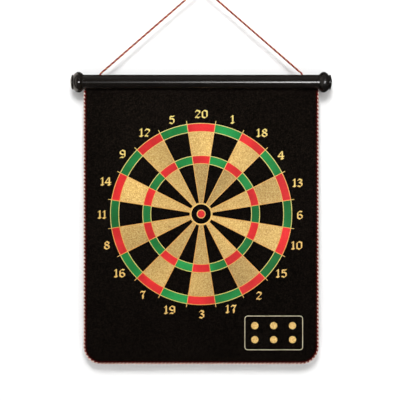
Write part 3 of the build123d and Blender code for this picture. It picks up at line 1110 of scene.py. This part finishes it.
def wall_material():
    """White wall, seen only from the front, so that the back of the object can be looked at.
    In reflections it is dim, but for a paler stretch beyond the left end of the tube."""
    mat = Material("wall_white", rough=0.9, specular=0.0)
    mat.inputs["Base Color"].default_value = grey(0.778)
    geometry = mat.node("ShaderNodeNewGeometry").outputs
    strength = mat.map_range(mat.axes(geometry["Position"])["X"], start=finial_low.x - 0.003,
                             end=finial_low.x, low=1.6, high=0.06,
                             interpolation_type="SMOOTHSTEP")
    glow = mat.node("ShaderNodeEmission", {"Color": (1.0, 0.93, 0.84, 1), "Strength": strength})
    glossy = mat.node("ShaderNodeLightPath").outputs["Is Glossy Ray"]
    principled = mat.find("BSDF_PRINCIPLED").outputs[0]
    front = mat.node("ShaderNodeMixShader", {0: glossy, 1: principled, 2: glow.outputs[0]})
    clear = mat.node("ShaderNodeBsdfTransparent")
    seen = mat.node("ShaderNodeMixShader", {0: geometry["Backfacing"], 1: front.outputs[0],
                                            2: clear.outputs[0]})
    mat.link(seen.outputs[0], mat.find("OUTPUT_MATERIAL").inputs["Surface"])
    return mat.data


def floor_material():
    mat = Material("floor_pale", rough=0.8, specular=0.1)
    mat.inputs["Base Color"].default_value = (0.86, 0.86, 0.85, 1)
    return mat.data


wall = upright_plane("stage_wall", WALL_Y, left=-STAGE_X, right=STAGE_X, bottom=FLOOR_Z,
                     top=MIDDLE_Z + 2.0, material=wall_material())
floor = stage_plane("stage_floor",
                    [(-STAGE_X, WALL_Y, FLOOR_Z), (-STAGE_X, -3.0, FLOOR_Z),
                     (STAGE_X, -3.0, FLOOR_Z), (STAGE_X, WALL_Y, FLOOR_Z)], floor_material())
floor.visible_glossy = False

# ------------------------------------------------------------------ view settings and world
scene = bpy.context.scene
scene.view_settings.view_transform = "Standard"
scene.view_settings.look = "None"
scene.view_settings.exposure = 0.0
scene.view_settings.gamma = 1.0


def make_world():
    """A dim room for reflections, an even soft light for everything else, and pale where
    the camera looks at it."""
    world_data = bpy.data.worlds.new("studio")
    scene.world = world_data
    sky = Shading(world_data)
    direction = sky.node("ShaderNodeTexCoord").outputs["Generated"]
    height = sky.map_range(sky.axes(direction)["Z"], start=-1.0, end=1.0)
    room = sky.ramp(height, [(0.0, grey(0.05)), (0.45, grey(0.06)), (0.60, grey(0.07)),
                             (0.80, grey(0.13)), (1.0, grey(0.35))])
    rays = sky.node("ShaderNodeLightPath").outputs
    unseen = sky.mix(rays["Is Glossy Ray"], grey(0.34), room)
    background = sky.find("BACKGROUND")
    sky.link(sky.mix(rays["Is Camera Ray"], unseen, grey(0.92)), background.inputs["Color"])
    background.inputs["Strength"].default_value = 1.0


make_world()


# ------------------------------------------------------------------ lights
def area_light(name, place, width, height, power, target=(0, 0, MIDDLE_Z)):
    """A rectangular light aimed at the target, left out of reflections."""
    light = bpy.data.lights.new(name, "AREA")
    light.shape = "RECTANGLE"
    light.size = width
    light.size_y = height
    light.energy = power
    lamp = bpy.data.objects.new(name, light)
    scene.collection.objects.link(lamp)
    lamp.location = place
    aim = Vector(target) - Vector(place)
    lamp.rotation_euler = aim.to_track_quat("-Z", "Y").to_euler()
    lamp.visible_glossy = False
    return lamp


area_light("key", (-0.06, -2.09, MIDDLE_Z + 1.62), width=0.90, height=0.90, power=66)
area_light("fill", (0.25, -2.6, MIDDLE_Z + 0.4), width=2.6, height=2.0, power=13)
area_light("lift", (0.15, -1.9, MIDDLE_Z - 1.1), width=1.2, height=0.9, power=9,
           target=(0.03, 0, MIDDLE_Z - 0.3))

# a light behind the wall for looking at the object's back: it lights the object only, and
# the wall lets it pass
back_light = area_light("back", (0.0, 2.3, MIDDLE_Z + 0.5), width=2.2, height=2.2, power=52)
lit_pieces = bpy.data.collections.new("back_light_pieces")
for piece in [piece for piece in scene.objects if piece.type == "MESH"]:
    if piece not in (wall, floor):
        lit_pieces.objects.link(piece)
back_light.light_linking.receiver_collection = lit_pieces
back_light.light_linking.blocker_collection = lit_pieces


# ------------------------------------------------------------------ cards seen in reflections
class Glow(Shading):
    """A material that only gives light."""

    def __init__(self, name):
        self.data = bpy.data.materials.new(name)
        super().__init__(self.data)
        self.tree.nodes.clear()
        emission = self.node("ShaderNodeEmission")
        self.node("ShaderNodeOutputMaterial", {"Surface": emission.outputs[0]})
        self.inputs = emission.inputs


def strip_material():
    """Grows brighter to the right, then falls off at the far end."""
    glow = Glow("strip_light")
    x = glow.axes(glow.node("ShaderNodeTexCoord").outputs["Object"])["X"]
    power = glow.map_range(x, start=-1.0, end=0.40, low=-4.8, high=1.92)
    level = glow.map_range(x, start=0.40, end=0.46, low=5.5, high=1.2)
    growth = glow.node("ShaderNodeMath", {0: power}, operation="EXPONENT").outputs[0]
    strength = glow.node("ShaderNodeMath", {0: growth, 1: level}, operation="MULTIPLY")
    glow.link(strength.outputs[0], glow.inputs["Strength"])
    return glow.data


def spot_material():
    glow = Glow("spot_light")
    glow.inputs["Strength"].default_value = 60.0
    return glow.data


def side_card_material():
    glow = Glow("side_card")
    glow.inputs["Color"].default_value = (1.0, 0.92, 0.84, 1)
    glow.inputs["Strength"].default_value = 1.5
    return glow.data


LENS = 100.0                                     # focal length, mm
SENSOR = 36.0                                    # sensor width, mm
VIEW_WIDTH = 650.0                               # width seen at the board, mm
CAMERA_X, CAMERA_Z = -0.0019, AXIS_Z - 0.1915
CAMERA_AWAY = VIEW_WIDTH * MM * LENS / SENSOR

CARD_Y = -CAMERA_AWAY - 0.05                     # just behind the camera
STRIP_Z = CAMERA_Z - 0.02
# the strip draws the line of light along the tube
strip = upright_plane("stage_strip", CARD_Y, left=-0.46, right=1.10, bottom=STRIP_Z - 0.22,
                      top=STRIP_Z + 0.22, material=strip_material())
spot = upright_plane("stage_spot", CARD_Y, left=0.72, right=1.12, bottom=STRIP_Z - 0.20,
                     top=STRIP_Z + 0.26, material=spot_material())
# a warm card to the left, facing across
card = stage_plane("stage_card",
                   [(-0.9, -0.62, AXIS_Z - 0.9), (-0.9, -0.27, AXIS_Z - 0.9),
                    (-0.9, -0.27, AXIS_Z + 0.9), (-0.9, -0.62, AXIS_Z + 0.9)],
                   side_card_material())
for plane in (strip, spot, card):
    plane.visible_camera = False
    plane.visible_diffuse = False
    plane.visible_shadow = False

# ------------------------------------------------------------------ camera
camera_data = bpy.data.cameras.new("camera")
camera_data.lens = LENS
camera_data.sensor_width = SENSOR
camera_data.clip_start = 0.05
camera_data.clip_end = 30.0
camera = bpy.data.objects.new("camera", camera_data)
scene.collection.objects.link(camera)
camera.location = (CAMERA_X, -CAMERA_AWAY, CAMERA_Z)
camera.rotation_euler = (math.pi / 2, 0, 0)
scene.camera = camera
